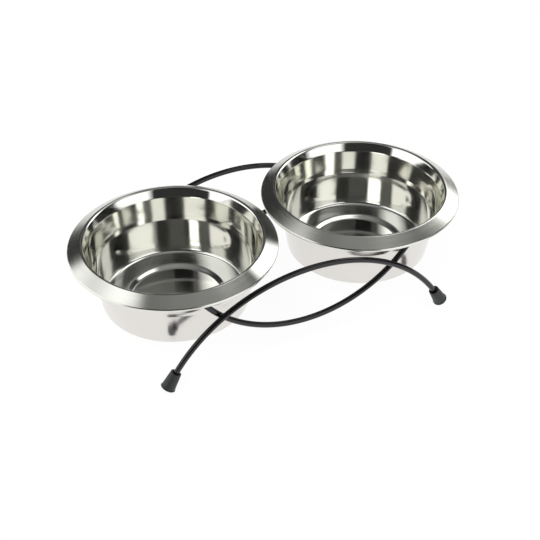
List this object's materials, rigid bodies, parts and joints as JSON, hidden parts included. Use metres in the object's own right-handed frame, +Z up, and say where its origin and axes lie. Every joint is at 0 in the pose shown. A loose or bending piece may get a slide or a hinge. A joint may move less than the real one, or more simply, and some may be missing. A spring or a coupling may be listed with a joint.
{
  "type": "double pet bowl",
  "caption": "Raised double pet bowl: flanged steel bowls hang in wire rings on a low stand of bent wires that cross and are welded, with rubber feet.",
  "frame": {"origin": "on the ground, midway between the two bowls and midway between the front and rear wires", "axes": "+X from the left bowl to the right bowl, +Y from the front to the back, +Z up"},
  "size_m": [0.322, 0.16, 0.08],
  "materials": {
    "polished_steel": "drawn stainless sheet, mirror polished, with a satin brushed flange",
    "black_wire": "semi-gloss black coated round wire",
    "black_rubber": "matt black moulded rubber"
  },
  "bodies": {
    "stand": {"left_ring": "black_wire", "right_ring": "black_wire", "front_arch": "black_wire", "rear_arch": "black_wire", "front_cradle": "black_wire", "rear_cradle": "black_wire", "front_left_foot": "black_rubber", "front_right_foot": "black_rubber", "rear_left_foot": "black_rubber", "rear_right_foot": "black_rubber"},
    "left_bowl": {"left_bowl": "polished_steel"},
    "right_bowl": {"right_bowl": "polished_steel"}
  },
  "joints": [
    {"name": "left_bowl_lift", "type": "slide", "parent": "stand", "child": "left_bowl", "axis": [0, 0, 1], "range_m": [0, 0.09]},
    {"name": "right_bowl_lift", "type": "slide", "parent": "stand", "child": "right_bowl", "axis": [0, 0, 1], "range_m": [0, 0.09]}
  ]
}
